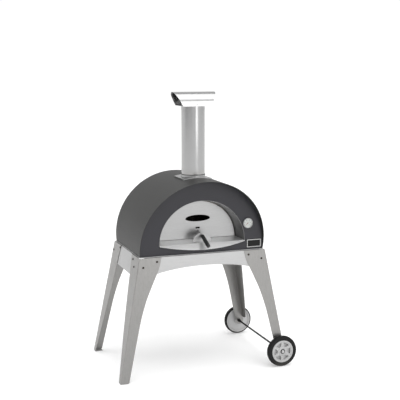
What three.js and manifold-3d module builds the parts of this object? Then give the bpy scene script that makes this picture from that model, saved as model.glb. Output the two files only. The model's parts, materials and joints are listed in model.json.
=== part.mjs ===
// Wood fired pizza oven on a four-legged stand with two wheels.
// Millimetres, +Z up. The oven is drawn about the middle of its base and shifted into the frame last.
import * as THREE from 'three';
import * as BufferGeometryUtils from 'three/addons/utils/BufferGeometryUtils.js';
import manifoldLibrary from 'manifold-3d';

const wasm = await manifoldLibrary();
wasm.setup();

// Stand
const standTop = 762;
const standHalf = { x: 417, y: 295 };      // outside corner of a leg at the top
const footHalf = { x: 560, y: 353 };       // the same corner at the floor
const legSheet = 2.5;
const railSheet = 2;
const seam = 0.3;                          // gap between pieces that touch
const footPadHeight = 4;
const frontRailDepth = 100;
const frontRailArch = 30;
const sideRailDepth = 124;
const railFlange = 28;

// One bolt through each front and rear leg flange and the rail behind it
const bolt = { x: 304, z: 736, radius: 3, headRadius: 7, headHeight: 3.5 };

// Wheels and axle
const wheelRadius = 100;
const wheelX = 510;
const wheelInnerY = 354;
const wheelWidth = 36;
const wheelOuterY = wheelInnerY + wheelWidth;
const hubFaceRadius = 73;                  // silver disc seen from outside
const hubBackRadius = 89;                  // dished disc seen from inside
const hubBackDepth = 24;                   // depth of the wide part of the hub
const hubBore = 16;
const hubPockets = { count: 6, inner: 33, outer: 57, halfAngle: 0.38, depth: 14 };
const axleRadius = 6;
const axleShoulder = { radius: 11, inner: 330, outer: 341.5 };
const runningGap = 0.05;

// Oven body
const bodyBottom = 767;
const bodyFront = -280;
const bodyBack = 280;
const shellRadius = 411;
const shellSheet = 2;
const archCentreZ = bodyBottom + 47;
const frontLean = 0.2;                     // the front edge of the shell leans out by this slope
const faceY = -276;                        // front of the flat face
const faceSheet = 2;

// Mouth, liner and sill
const mouthHalfWidth = 282;
const mouthHeight = 265;
const sillZ = bodyBottom + 62;             // sill level at the face
const hearthZ = sillZ + 13;                // top of the hearth
const throatHalfWidth = 254;
const throatHeight = 242;
const linerSheet = 1.5;
const linerLift = 0.8;                     // the liner stands this far above the sill plate
const linerFrontY = -277.5;
const linerBackY = -179;
const lipReach = 53;
const lipEnd = 6;
const lipAngle = THREE.MathUtils.degToRad(37);

// Cooking chamber
const vaultRadius = 345;
const vaultSheet = 2;
const vaultFrontY = -187;
const vaultBackY = 224;
const innerWallY = -178.6;
const wallSheet = 1.8;
const boardTop = bodyBottom + 39;
const insulationRadius = 404;

// Door and handle
const doorFrontY = -187;
const doorDepth = 7.5;
const doorHalfWidth = 250.5;
const doorHeight = 238;
const doorSheet = 1.5;
const vent = { halfLength: 82, rise: 23, fall: 19, z: sillZ + 141 };
const handleAngle = THREE.MathUtils.degToRad(22.8);
const handleZ = sillZ + 81;
const guard = { halfWidth: 61, height: 53, base: sillZ + 9, reach: 79 };
const gripLength = 126;
const gripStart = 8;                       // from the bend of the rod to the grip
const gripBoreDepth = 60;
const gripRadius = 12;
const rodRadius = 5;
const rodStart = { y: doorFrontY + doorSheet + 3, z: handleZ - 17 };
const rodBend = { y: doorFrontY - guard.reach, z: handleZ - guard.reach * Math.tan(handleAngle) };

// Flue
const flueY = -103;
const pipeRadius = 75;
const pipeSheet = 1.5;
const spigotRadius = 73;
const pipeBottom = 1242;
const pipeTop = 1692;
const collarHeight = 8;
const capRadius = 77.5;
const capTop = 1761;
const capBottom = 1673;
const capHalfTop = 140;
const capHalfBottom = 90;
const rivetZ = 1682.5;

// Thermometer and badge
const gauge = { x: 304.5, z: 937, radius: 32.5 };
const badge = { x: 348, z: bodyBottom + 37, width: 102, height: 56 };

const materials = {
  shellPaint: paint('shell_paint', 0x5a5a58, 0.6, 0.2),
  facePaint: paint('face_paint', 0x494a50, 0.5, 0.2),
  stainless: paint('stainless_steel', 0xc6c6c6, 0.28, 0.9),
  legSteel: paint('leg_steel', 0xb2afa9, 0.45, 0.8),
  railSteel: paint('rail_steel', 0xd0d0d0, 0.4, 0.8),
  zincSteel: paint('zinc_steel', 0xa4a6a8, 0.5, 0.8),
  vaultSteel: paint('vault_steel', 0x8c8880, 0.45, 0.8),
  fibre: paint('ceramic_fibre', 0xe2ddd0, 0.95, 0),
  board: paint('fibre_board', 0xd6ccb8, 0.95, 0),
  firebrick: paint('firebrick', 0xd8c6a2, 0.9, 0),
  blackPlastic: paint('black_plastic', 0x222222, 0.5, 0),
  blackSteel: paint('black_steel', 0x1c1c1e, 0.45, 0.5),
  rubber: paint('tyre_rubber', 0x2c2c2c, 0.85, 0),
  hubPlastic: paint('hub_plastic', 0xb4b4b4, 0.45, 0.1),
  dialWhite: paint('dial_enamel', 0xe6e6e2, 0.5, 0),
  needleRed: paint('needle_red', 0x9c1f18, 0.5, 0),
  glass: paint('gauge_glass', 0xf4f8f8, 0.05, 0),
};

function paint(name, color, roughness, metalness) {
  const material = new THREE.MeshStandardMaterial({ color, roughness, metalness });
  material.name = name;
  return material;
}

function node(name, geometry, material, position = [0, 0, 0]) {
  const mesh = new THREE.Mesh(geometry, material);
  mesh.name = name;
  mesh.position.set(...position);
  return mesh;
}

// Booleans
function solid(geometry) {
  const bare = geometry.clone();
  bare.deleteAttribute('normal');
  bare.deleteAttribute('uv');
  const welded = BufferGeometryUtils.mergeVertices(bare, 1e-4);
  const mesh = new wasm.Mesh({
    numProp: 3,
    vertProperties: new Float32Array(welded.attributes.position.array),
    triVerts: new Uint32Array(welded.index.array),
  });
  return new wasm.Manifold(mesh);
}

function geometryOf(body) {
  const mesh = body.getMesh();
  const geometry = new THREE.BufferGeometry();
  geometry.setAttribute('position', new THREE.BufferAttribute(new Float32Array(mesh.vertProperties), 3));
  geometry.setIndex(new THREE.BufferAttribute(new Uint32Array(mesh.triVerts), 1));
  geometry.computeVertexNormals();
  return geometry;
}

function cut(geometry, ...tools) {
  let body = solid(geometry);
  for (const tool of tools) {
    body = body.subtract(solid(tool));
  }
  return geometryOf(body);
}

function join(geometry, ...others) {
  let body = solid(geometry);
  for (const other of others) {
    body = body.add(solid(other));
  }
  return geometryOf(body);
}

// A mirrored copy keeps its faces outward
function mirrored(geometry, signX, signY) {
  const copy = geometry.clone();
  copy.scale(signX, signY, 1);
  if (signX * signY < 0) {
    const index = copy.index.array;
    for (let i = 0; i < index.length; i += 3) {
      [index[i + 1], index[i + 2]] = [index[i + 2], index[i + 1]];
    }
  }
  copy.computeVertexNormals();
  return copy;
}

// Plain solids
function boxBetween(low, high) {
  const size = high.map((value, i) => value - low[i]);
  const box = new THREE.BoxGeometry(...size);
  box.translate((low[0] + high[0]) / 2, (low[1] + high[1]) / 2, (low[2] + high[2]) / 2);
  return box;
}

function rodAlongY(radius, lowY, highY, x, z, segments = 32) {
  const rod = new THREE.CylinderGeometry(radius, radius, highY - lowY, segments);
  rod.translate(x, (lowY + highY) / 2, z);
  return rod;
}

function rodAlongZ(radius, lowZ, highZ, x, y, segments = 48) {
  const rod = new THREE.CylinderGeometry(radius, radius, highZ - lowZ, segments);
  rod.rotateX(Math.PI / 2);
  rod.translate(x, y, (lowZ + highZ) / 2);
  return rod;
}

// An outline in X and Z, given depth from lowY to highY
function upright(shape, lowY, highY, segments = 48) {
  const plate = new THREE.ExtrudeGeometry(shape, {
    depth: highY - lowY, bevelEnabled: false, curveSegments: segments,
  });
  plate.rotateX(Math.PI / 2);
  plate.translate(0, highY, 0);
  return plate;
}

// A closed ring of revolution about Y, whichever way round its profile is listed
function turned(points, segments = 48) {
  const profile = points.map(([radius, y]) => new THREE.Vector2(radius, y));
  if (THREE.ShapeUtils.isClockWise(profile)) {
    profile.reverse();
  }
  return new THREE.LatheGeometry([...profile, profile[0]], segments);
}

// Moves every vertex
function reshape(geometry, move) {
  const position = geometry.attributes.position;
  const point = new THREE.Vector3();
  for (let i = 0; i < position.count; i += 1) {
    point.fromBufferAttribute(position, i);
    move(point);
    position.setXYZ(i, point.x, point.y, point.z);
  }
  geometry.computeVertexNormals();
  return geometry;
}

// Arch outlines share the centre of the shell
function archShape(radius, bottomZ) {
  const start = -Math.asin((archCentreZ - bottomZ) / radius);
  const shape = new THREE.Shape();
  shape.absarc(0, archCentreZ, radius, start, Math.PI - start, false);
  shape.closePath();
  return shape;
}

function archBand(outerRadius, innerRadius, bottomZ) {
  const outerStart = -Math.asin((archCentreZ - bottomZ) / outerRadius);
  const innerStart = -Math.asin((archCentreZ - bottomZ) / innerRadius);
  const shape = new THREE.Shape();
  shape.absarc(0, archCentreZ, outerRadius, outerStart, Math.PI - outerStart, false);
  shape.absarc(0, archCentreZ, innerRadius, Math.PI - innerStart, innerStart, true);
  shape.closePath();
  return shape;
}

// Half an ellipse that stands on a flat base
function domeShape(halfWidth, height, baseZ, drop = 0) {
  const shape = new THREE.Shape();
  shape.moveTo(halfWidth, baseZ - drop);
  if (drop > 0) {
    shape.lineTo(halfWidth, baseZ);
  }
  shape.absellipse(0, baseZ, halfWidth, height, 0, Math.PI, false, 0);
  if (drop > 0) {
    shape.lineTo(-halfWidth, baseZ - drop);
  }
  shape.closePath();
  return shape;
}

function domeBand(halfWidth, height, thickness, baseZ) {
  const shape = new THREE.Shape();
  shape.moveTo(halfWidth + thickness, baseZ);
  shape.absellipse(0, baseZ, halfWidth + thickness, height + thickness, 0, Math.PI, false, 0);
  shape.lineTo(-halfWidth, baseZ);
  shape.absellipse(0, baseZ, halfWidth, height, Math.PI, 0, true, 0);
  shape.closePath();
  return shape;
}

// Stand
const slopeX = (footHalf.x - standHalf.x) / standTop;
const slopeY = (footHalf.y - standHalf.y) / standTop;

function cornerX(z) {
  return standHalf.x + slopeX * (standTop - z);
}

function cornerY(z) {
  return standHalf.y + slopeY * (standTop - z);
}

// The inner edge of a leg flange sweeps in from the wide top to the narrow foot
function sweptFlange(widths, bottomZ) {
  const edge = new THREE.SplineCurve(widths.map(([z, width]) => new THREE.Vector2(width, z)));
  const points = edge.getPoints(28).filter((point) => point.y > bottomZ);
  const shape = new THREE.Shape();
  shape.moveTo(0, standTop);
  shape.lineTo(0, bottomZ);
  shape.lineTo(edge.getPoint(1).x, bottomZ);
  for (const point of points.reverse()) {
    shape.lineTo(point.x, point.y);
  }
  shape.closePath();
  return shape;
}

// Lays a flange outline (inward, height) on the sloping front face of the stand
function onFrontSlope(shape, thickness, inset) {
  const settings = { depth: thickness, bevelEnabled: false, curveSegments: 16 };
  const flange = new THREE.ExtrudeGeometry(shape, settings);
  return reshape(flange, (point) => {
    const { x: inward, y: z, z: depth } = point;
    point.set(cornerX(z) - inward, cornerY(z) - inset - depth, z);
  });
}

// The same on the sloping side face
function onSideSlope(shape, thickness, inset) {
  const settings = { depth: thickness, bevelEnabled: false, curveSegments: 16 };
  const flange = new THREE.ExtrudeGeometry(shape, settings);
  return reshape(flange, (point) => {
    const { x: inward, y: z, z: depth } = point;
    point.set(cornerX(z) - inset - depth, cornerY(z) - inward, z);
  });
}

// Both slopes swap handedness, so their faces are turned back
function outward(geometry) {
  const plain = geometry.index ? geometry.toNonIndexed() : geometry;
  const position = plain.attributes.position.array;
  for (let i = 0; i < position.length; i += 9) {
    for (let k = 0; k < 3; k += 1) {
      [position[i + 3 + k], position[i + 6 + k]] = [position[i + 6 + k], position[i + 3 + k]];
    }
  }
  return plain;
}

const frontFlangeWidths = [[standTop, 143], [690, 137], [600, 112], [500, 87], [380, 71], [240, 64], [0, 55]];
const sideFlangeWidths = [[standTop, 166], [640, 147], [500, 130], [300, 99], [180, 74], [60, 52], [0, 38]];

function boltHole(signX) {
  return rodAlongY(bolt.radius + seam, 270, 320, signX * bolt.x, bolt.z, 16);
}

function legGeometry(bottomZ) {
  const front = outward(onFrontSlope(sweptFlange(frontFlangeWidths, bottomZ), legSheet, 0));
  const side = onSideSlope(sweptFlange(sideFlangeWidths, bottomZ), legSheet, 0);
  return cut(join(front, side), boltHole(1));
}

// A wheel leg stops above the floor in a rounded end around the axle
function wheelLegGeometry() {
  const endRadius = 31;
  const endZ = wheelRadius + 3;
  const sideEnd = wheelRadius + 30;
  const front = outward(onFrontSlope(sweptFlange(frontFlangeWidths, endZ), legSheet, 0));
  const round = new THREE.Shape();
  round.moveTo(0, endZ + 2);
  round.lineTo(0, endZ);
  round.absarc(endRadius, endZ, endRadius, Math.PI, 2 * Math.PI, false);
  round.lineTo(2 * endRadius, endZ + 2);
  round.closePath();
  const end = onFrontSlope(round, legSheet, 0);
  const side = onSideSlope(sweptFlange(sideFlangeWidths, sideEnd), legSheet, 0);
  const hole = rodAlongY(axleRadius + 0.3, 300, 400, wheelX, wheelRadius);
  return cut(join(front, outward(end), side), hole, boltHole(1));
}

function makeLegs() {
  const foot = legGeometry(footPadHeight + seam);
  const wheel = wheelLegGeometry();
  return [
    node('leg_front_left', mirrored(foot, -1, -1), materials.legSteel),
    node('leg_rear_left', mirrored(foot, -1, 1), materials.legSteel),
    node('leg_front_right', mirrored(wheel, 1, -1), materials.legSteel),
    node('leg_rear_right', mirrored(wheel, 1, 1), materials.legSteel),
  ];
}

// A foot pad is a plate under each plain leg
function makeFeet() {
  const pad = boxBetween(
    [-cornerX(0) + 1, -cornerY(0) + 1, 0],
    [-cornerX(0) + 52, -cornerY(0) + 40, footPadHeight],
  );
  return [
    node('foot_pad_front', pad, materials.zincSteel),
    node('foot_pad_rear', mirrored(pad, 1, -1), materials.zincSteel),
  ];
}

// Front and rear rails have an arched lower edge and a flange that carries the oven
function endRailGeometry() {
  const halfLength = standHalf.x - 9;
  const low = standTop - frontRailDepth;
  const shape = new THREE.Shape();
  shape.moveTo(-halfLength, standTop);
  shape.lineTo(-halfLength, low);
  shape.lineTo(-300, low);
  shape.quadraticCurveTo(-170, low + frontRailArch, 0, low + frontRailArch);
  shape.quadraticCurveTo(170, low + frontRailArch, 300, low);
  shape.lineTo(halfLength, low);
  shape.lineTo(halfLength, standTop);
  shape.closePath();
  const inset = legSheet + seam;
  const web = reshape(
    new THREE.ExtrudeGeometry(shape, { depth: railSheet, bevelEnabled: false, curveSegments: 16 }),
    (point) => point.set(point.x, cornerY(point.y) - inset - point.z, point.y),
  );
  const innerY = standHalf.y - inset;
  const flange = boxBetween(
    [-380, innerY - railFlange, standTop - railSheet],
    [380, innerY - railSheet / 2, standTop],
  );
  return cut(join(web, flange), boltHole(1), boltHole(-1));
}

function sideRailGeometry() {
  const halfLength = standHalf.y - 9;
  const inset = legSheet + seam;
  const shape = new THREE.Shape();
  shape.moveTo(-halfLength, standTop);
  shape.lineTo(-halfLength, standTop - sideRailDepth);
  shape.lineTo(halfLength, standTop - sideRailDepth);
  shape.lineTo(halfLength, standTop);
  shape.closePath();
  const web = reshape(
    new THREE.ExtrudeGeometry(shape, { depth: railSheet, bevelEnabled: false }),
    (point) => point.set(cornerX(point.y) - inset - point.z, point.x, point.y),
  );
  const innerX = standHalf.x - inset;
  const flange = boxBetween(
    [innerX - railFlange, -255, standTop - railSheet],
    [innerX - railSheet / 2, 255, standTop],
  );
  return join(outward(web), flange);
}

function makeRails() {
  const end = endRailGeometry();
  const side = sideRailGeometry();
  return [
    node('rail_front', mirrored(end, 1, -1), materials.railSteel),
    node('rail_rear', end, materials.railSteel),
    node('rail_left', mirrored(side, -1, 1), materials.railSteel),
    node('rail_right', side, materials.railSteel),
  ];
}

function makeBolts() {
  const under = cornerY(bolt.z) + 0.9;
  const top = under + bolt.headHeight;
  const rear = turned([
    [0, under - 12], [bolt.radius, under - 12], [bolt.radius, under], [bolt.headRadius, under],
    [bolt.headRadius - 1.5, top - 0.6], [bolt.headRadius - 4, top], [0, top],
  ], 16);
  const front = facingFront(rear);
  return [
    node('leg_bolt_front_left', front, materials.zincSteel, [-bolt.x, 0, bolt.z]),
    node('leg_bolt_front_right', front, materials.zincSteel, [bolt.x, 0, bolt.z]),
    node('leg_bolt_rear_left', rear, materials.zincSteel, [-bolt.x, 0, bolt.z]),
    node('leg_bolt_rear_right', rear, materials.zincSteel, [bolt.x, 0, bolt.z]),
  ];
}

// One wheel, drawn for the rear end of the axle with its outside at +Y
function tyreGeometry() {
  const inner = wheelInnerY;
  const outer = wheelOuterY;
  const shoulder = wheelRadius - 2;
  const step = wheelInnerY + hubBackDepth + seam;
  return turned([
    [hubBackRadius + seam, inner + 1.5], [shoulder - 3, inner + 1], [shoulder, inner + 5],
    [wheelRadius, inner + 12], [wheelRadius, outer - 12], [shoulder, outer - 5], [shoulder - 4, outer - 0.6],
    [hubFaceRadius + 7, outer], [hubFaceRadius + seam, outer - 2], [hubFaceRadius + seam, step],
    [hubBackRadius + seam, step],
  ], 40);
}

// The hub is dished on the inside and has pockets on the outside
function hubGeometry() {
  const inner = wheelInnerY + 1;
  const step = wheelInnerY + hubBackDepth;
  const face = wheelOuterY - 1;
  const disc = turned([
    [hubBore, inner], [26, inner], [30, inner + 8], [76, inner + 8], [82, inner], [hubBackRadius, inner],
    [hubBackRadius, step], [hubFaceRadius, step], [hubFaceRadius, face], [67, face], [63, face - 4],
    [28, face - 4], [24, face], [hubBore, face],
  ], 36);
  const { count, halfAngle, depth } = hubPockets;
  const pocket = new THREE.Shape();
  pocket.absarc(0, 0, hubPockets.outer, -halfAngle, halfAngle, false);
  pocket.absarc(0, 0, hubPockets.inner, halfAngle / 2, -halfAngle / 2, true);
  pocket.closePath();
  const pockets = [];
  for (let i = 0; i < count; i += 1) {
    const tool = upright(pocket, face - 4 - depth, face + 10, 3);
    tool.rotateY(i * 2 * Math.PI / count);
    pockets.push(tool);
  }
  return cut(disc, ...pockets);
}

function bushGeometry() {
  const bore = axleRadius + runningGap;
  const radius = hubBore - seam;
  const inner = wheelInnerY + seam;
  const outer = wheelOuterY - 1;
  return turned([[bore, inner], [radius, inner], [radius, outer], [bore, outer]], 24);
}

function spacerGeometry() {
  const bore = axleRadius + seam;
  const radius = 10;
  const inner = cornerY(wheelRadius - radius) + seam;
  return turned([[bore, inner], [radius, inner], [radius, wheelInnerY], [bore, wheelInnerY]], 24);
}

const axleCapInnerY = wheelOuterY - 0.6;
const axleCapOuterY = axleCapInnerY + 7;
const axleCapFloorY = axleCapOuterY - 2.5;

function axleCapGeometry() {
  const bore = axleRadius + seam;
  return turned([
    [0, axleCapFloorY], [bore, axleCapFloorY], [bore, axleCapInnerY], [10, axleCapInnerY],
    [10, axleCapInnerY + 3.5], [7.5, axleCapOuterY - 0.8], [0, axleCapOuterY],
  ], 24);
}

// The axle has a shoulder inside each wheel leg
function axleGeometry() {
  const half = axleCapFloorY - seam;
  const { radius, inner, outer } = axleShoulder;
  const end = [[radius, inner], [radius, outer], [axleRadius, outer], [axleRadius, half], [0, half]];
  const otherEnd = end.map(([r, y]) => [r, -y]).reverse();
  return turned([...otherEnd, [axleRadius, -inner], [axleRadius, inner], ...end], 24);
}

function makeWheels() {
  const meshes = [];
  meshes.push(node('axle', axleGeometry(), materials.blackSteel));
  const pieces = [
    ['wheel_tyre', tyreGeometry(), materials.rubber],
    ['wheel_hub', hubGeometry(), materials.hubPlastic],
    ['wheel_bush', bushGeometry(), materials.blackPlastic],
    ['axle_spacer', spacerGeometry(), materials.zincSteel],
    ['axle_cap', axleCapGeometry(), materials.stainless],
  ];
  for (const [name, geometry, material] of pieces) {
    meshes.push(node(`${name}_front`, facingFront(geometry), material));
    meshes.push(node(`${name}_rear`, geometry, material));
  }
  const group = new THREE.Group();
  group.add(...meshes);
  group.position.set(wheelX, 0, wheelRadius);
  return group;
}

function facingFront(geometry) {
  const copy = geometry.clone();
  copy.rotateX(Math.PI);
  return copy;
}

// Oven body
function shellGeometry() {
  const shell = upright(archBand(shellRadius, shellRadius - shellSheet, bodyBottom), bodyFront, bodyBack, 60);
  reshape(shell, (point) => {
    if (point.y < bodyFront + 1) {
      point.y -= frontLean * (point.z - bodyBottom);
    }
  });
  const flueHole = rodAlongZ(pipeRadius + 3, 1100, 1400, 0, flueY);
  return cut(shell, flueHole);
}

function facePanelGeometry() {
  const shape = archShape(shellRadius - shellSheet - seam, bodyBottom + seam);
  const gap = linerSheet + seam + 0.4;
  shape.holes.push(domeShape(mouthHalfWidth + gap, mouthHeight + gap, sillZ, 4));
  const panel = upright(shape, faceY, faceY + faceSheet, 48);
  return cut(panel, rodAlongY(5, -300, -200, gauge.x, gauge.z));
}

function makeCasing() {
  const pan = boxBetween([-410, -282, standTop + seam], [410, 282, bodyBottom - seam]);
  const backShape = archShape(shellRadius - shellSheet - seam, bodyBottom + seam);
  const back = upright(backShape, bodyBack - 4, bodyBack - 2, 48);
  return [
    node('base_pan', pan, materials.zincSteel),
    node('outer_shell', shellGeometry(), materials.shellPaint),
    node('front_panel', facePanelGeometry(), materials.facePaint),
    node('back_panel', back, materials.shellPaint),
  ];
}

// The steel reveal narrows and its base climbs from the face to the throat
function linerGeometry() {
  const band = domeBand(mouthHalfWidth, mouthHeight, linerSheet, 0);
  const liner = upright(band, linerFrontY, linerBackY, 48);
  return reshape(liner, (point) => {
    const along = (point.y - linerFrontY) / (linerBackY - linerFrontY);
    point.x *= THREE.MathUtils.lerp(1, throatHalfWidth / mouthHalfWidth, along);
    point.z *= THREE.MathUtils.lerp(1, throatHeight / mouthHeight, along);
    point.z += THREE.MathUtils.lerp(sillZ, hearthZ, along) + linerLift;
  });
}

function sillGeometry() {
  const thickness = 2;
  const run = linerBackY - bodyFront;
  const slope = Math.atan((hearthZ - sillZ) / run);
  const landing = new THREE.Shape();
  landing.moveTo(-mouthHalfWidth, 0);
  landing.lineTo(mouthHalfWidth, 0);
  landing.lineTo(throatHalfWidth, run / Math.cos(slope));
  landing.lineTo(-throatHalfWidth, run / Math.cos(slope));
  landing.closePath();
  const plate = new THREE.ExtrudeGeometry(landing, { depth: thickness, bevelEnabled: false });
  plate.translate(0, 0, -thickness);
  plate.rotateX(slope);
  const crescent = new THREE.Shape();
  crescent.moveTo(-mouthHalfWidth, 0);
  crescent.lineTo(-mouthHalfWidth, -lipEnd);
  crescent.quadraticCurveTo(0, lipEnd - 2 * lipReach, mouthHalfWidth, -lipEnd);
  crescent.lineTo(mouthHalfWidth, 0);
  crescent.closePath();
  const settings = { depth: thickness, bevelEnabled: false, curveSegments: 32 };
  const lip = new THREE.ExtrudeGeometry(crescent, settings);
  lip.translate(0, 0, -thickness);
  lip.rotateX(lipAngle);
  const bend = new THREE.CylinderGeometry(thickness / 2, thickness / 2, 2 * mouthHalfWidth, 12);
  bend.rotateZ(Math.PI / 2);
  bend.translate(0, 0, -thickness / 2);
  const sill = join(plate, lip, bend);
  sill.translate(0, bodyFront, sillZ);
  return sill;
}

function makeMouth() {
  const plate = boxBetween(
    [badge.x - badge.width / 2, faceY - 2.3, badge.z - badge.height / 2],
    [badge.x + badge.width / 2, faceY - seam, badge.z + badge.height / 2],
  );
  return [
    node('mouth_liner', linerGeometry(), materials.stainless),
    node('sill_plate', sillGeometry(), materials.stainless),
    node('badge_plate', plate, materials.blackSteel),
  ];
}

// Cooking chamber and insulation
function makeChamber() {
  return [...makeVault(), ...makeInsulation(), ...makeHearth()];
}

const innerWallBackY = innerWallY + wallSheet;

function probeHole() {
  return rodAlongY(5, -300, -150, gauge.x, gauge.z);
}

function flueHole(radius) {
  return rodAlongZ(radius, 1100, 1400, 0, flueY);
}

function makeVault() {
  const arch = archBand(vaultRadius + vaultSheet, vaultRadius, boardTop + seam);
  const vault = cut(upright(arch, vaultFrontY, vaultBackY, 40), flueHole(spigotRadius + 0.4));
  const frontShape = archShape(vaultRadius - 0.4, bodyBottom + seam);
  frontShape.holes.push(domeShape(throatHalfWidth - 11, throatHeight - 11, hearthZ, 0));
  const frontWall = cut(upright(frontShape, innerWallY, innerWallBackY, 32), probeHole());
  const backShape = archShape(insulationRadius, bodyBottom + seam);
  const backWall = upright(backShape, vaultBackY + seam, vaultBackY + 2, 24);
  return [
    node('inner_vault', vault, materials.vaultSteel),
    node('vault_front_wall', frontWall, materials.vaultSteel),
    node('vault_back_wall', backWall, materials.vaultSteel),
  ];
}

function makeInsulation() {
  const blanketShape = archBand(insulationRadius, vaultRadius + vaultSheet + 2, bodyBottom + seam);
  const blanket = cut(upright(blanketShape, vaultFrontY, vaultBackY, 36), flueHole(pipeRadius + 1));
  const frontShape = archShape(insulationRadius, bodyBottom + seam);
  frontShape.holes.push(domeShape(mouthHalfWidth + 4, mouthHeight + 5, sillZ, 5));
  const frontWool = cut(upright(frontShape, faceY + 2.4, vaultFrontY - 0.4, 32), probeHole());
  const rearShape = archShape(insulationRadius, bodyBottom + seam);
  const rearWool = upright(rearShape, vaultBackY + 2.4, bodyBack - 4.4, 24);
  const board = boxBetween([-344, innerWallBackY + 0.4, bodyBottom + seam], [344, vaultBackY, boardTop]);
  return [
    node('blanket_insulation', blanket, materials.fibre),
    node('front_insulation', frontWool, materials.fibre),
    node('rear_insulation', rearWool, materials.fibre),
    node('floor_insulation', board, materials.board),
  ];
}

// Four tiles with a fine joint between them
function makeHearth() {
  const halfWidth = 338;
  const frontY = innerWallBackY + 0.6;
  const middleY = (frontY + vaultBackY) / 2;
  const rows = [['front', frontY, middleY - 0.4], ['rear', middleY + 0.4, vaultBackY - 0.4]];
  const tiles = [];
  for (const [side, signX] of [['left', -1], ['right', 1]]) {
    for (const [end, lowY, highY] of rows) {
      const inner = signX * 0.4;
      const outer = signX * halfWidth;
      const tile = boxBetween(
        [Math.min(inner, outer), lowY, boardTop + seam],
        [Math.max(inner, outer), highY, hearthZ],
      );
      tiles.push(node(`hearth_tile_${end}_${side}`, tile, materials.firebrick));
    }
  }
  return tiles;
}

// Flue
function tube(outer, inner, lowZ, highZ) {
  const geometry = turned([[inner, lowZ], [outer, lowZ], [outer, highZ], [inner, highZ]], 44);
  geometry.rotateX(Math.PI / 2);
  geometry.translate(0, flueY, 0);
  return geometry;
}

function collarGeometry() {
  const reach = { x: 95, front: 86, back: 96 };
  const inner = shellRadius + 0.4;
  const outer = inner + collarHeight;
  const half = Math.asin(reach.x / outer);
  const shape = new THREE.Shape();
  shape.absarc(0, archCentreZ, outer, Math.PI / 2 - half, Math.PI / 2 + half, false);
  shape.absarc(0, archCentreZ, inner, Math.PI / 2 + half, Math.PI / 2 - half, true);
  shape.closePath();
  const saddle = upright(shape, flueY - reach.front, flueY + reach.back, 24);
  const ring = tube(pipeRadius + 3, spigotRadius + 0.5, shellRadius + archCentreZ + 2, pipeBottom - 0.4);
  return join(cut(saddle, rodAlongZ(spigotRadius + 1.5, 1100, 1400, 0, flueY, 44)), ring);
}

function hoodOutline(radius, bottomZ) {
  const shape = new THREE.Shape();
  shape.moveTo(-radius, bottomZ);
  shape.lineTo(radius, bottomZ);
  shape.absarc(0, capTop - capRadius, radius, 0, Math.PI, false);
  shape.closePath();
  return shape;
}

// The hood is a half-round tube with a flat floor, cut on a slant at both ends
function capGeometry() {
  const shape = hoodOutline(capRadius, capBottom);
  shape.holes.push(hoodOutline(capRadius - pipeSheet, capBottom + pipeSheet));
  const hood = upright(shape, -1, 1, 30);
  hood.rotateZ(Math.PI / 2);
  reshape(hood, (point) => {
    const rise = (point.z - capBottom) / (capTop - capBottom);
    point.x = Math.sign(point.x) * THREE.MathUtils.lerp(capHalfBottom, capHalfTop, rise);
  });
  hood.translate(0, flueY, 0);
  const pipeHole = rodAlongZ(pipeRadius + 2 * seam, capBottom - 5, capBottom + 5, 0, flueY);
  return cut(hood, pipeHole, ...rivetHoles());
}

function rivetHoles() {
  const reach = capRadius + 10;
  return [-1, 1].map((side) => {
    const ends = [flueY + side * (pipeRadius - 10), flueY + side * reach];
    return rodAlongY(2.4, Math.min(...ends), Math.max(...ends), 0, rivetZ, 16);
  });
}

function rivetGeometry() {
  const under = capRadius + seam;
  return turned([
    [0, 71], [2.1, 71], [2.1, under], [4.5, under], [4.2, under + 1.3], [2.4, under + 2.1], [0, under + 2.3],
  ], 16);
}

function makeFlue() {
  const pipe = tube(pipeRadius, pipeRadius - pipeSheet, pipeBottom, pipeTop);
  const rear = rivetGeometry();
  const front = facingFront(rear);
  return [
    node('flue_spigot', tube(spigotRadius, spigotRadius - 1.5, 1150, 1310), materials.vaultSteel),
    node('flue_collar', collarGeometry(), materials.stainless),
    node('flue_pipe', cut(pipe, ...rivetHoles()), materials.stainless),
    node('chimney_cap', capGeometry(), materials.stainless),
    node('cap_rivet_front', front, materials.stainless, [0, flueY, rivetZ]),
    node('cap_rivet_rear', rear, materials.stainless, [0, flueY, rivetZ]),
  ];
}

// Thermometer: a case with dial, needle and glass in front and a probe that reaches the chamber
function makeGauge() {
  const r = gauge.radius;
  const housing = turned([
    [0, -0.4], [r - 2, -0.4], [r, -2], [r, -8], [r - 1.5, -10], [r - 4, -10], [r - 4, -3], [0, -3],
  ], 36);
  const dial = turned([
    [0, -3.3], [r - 4.4, -3.3], [r - 4.4, -4.1], [1.6, -4.1], [1.6, -3.6], [0, -3.6],
  ], 36);
  const pointer = new THREE.Shape();
  pointer.absarc(0, 0, 3.2, Math.PI * 0.62, Math.PI * 2.38, false);
  pointer.lineTo(0, r - 9);
  pointer.closePath();
  const needle = upright(pointer, -6, -5.2, 10);
  needle.rotateY(THREE.MathUtils.degToRad(-135));
  const glass = turned([[0, -7.4], [r - 4.4, -7.4], [r - 4.4, -8.8], [0, -8.8]], 36);
  const probe = rodAlongY(4, 0, 118, 0, 0, 24);
  const meshes = [
    node('gauge_case', housing, materials.stainless),
    node('gauge_dial', dial, materials.dialWhite),
    node('gauge_needle', needle, materials.needleRed),
    node('gauge_glass', glass, materials.glass),
    node('gauge_probe', probe, materials.stainless),
  ];
  const group = new THREE.Group();
  group.add(...meshes);
  group.position.set(gauge.x, faceY, gauge.z);
  return group;
}

// Door
function ventOutline(margin) {
  const outline = new THREE.Path();
  outline.absellipse(0, vent.z, vent.halfLength + margin, vent.rise + margin, 0, Math.PI, false, 0);
  outline.absellipse(0, vent.z, vent.halfLength + margin, vent.fall + margin, Math.PI, 2 * Math.PI, false, 0);
  return outline;
}

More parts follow.
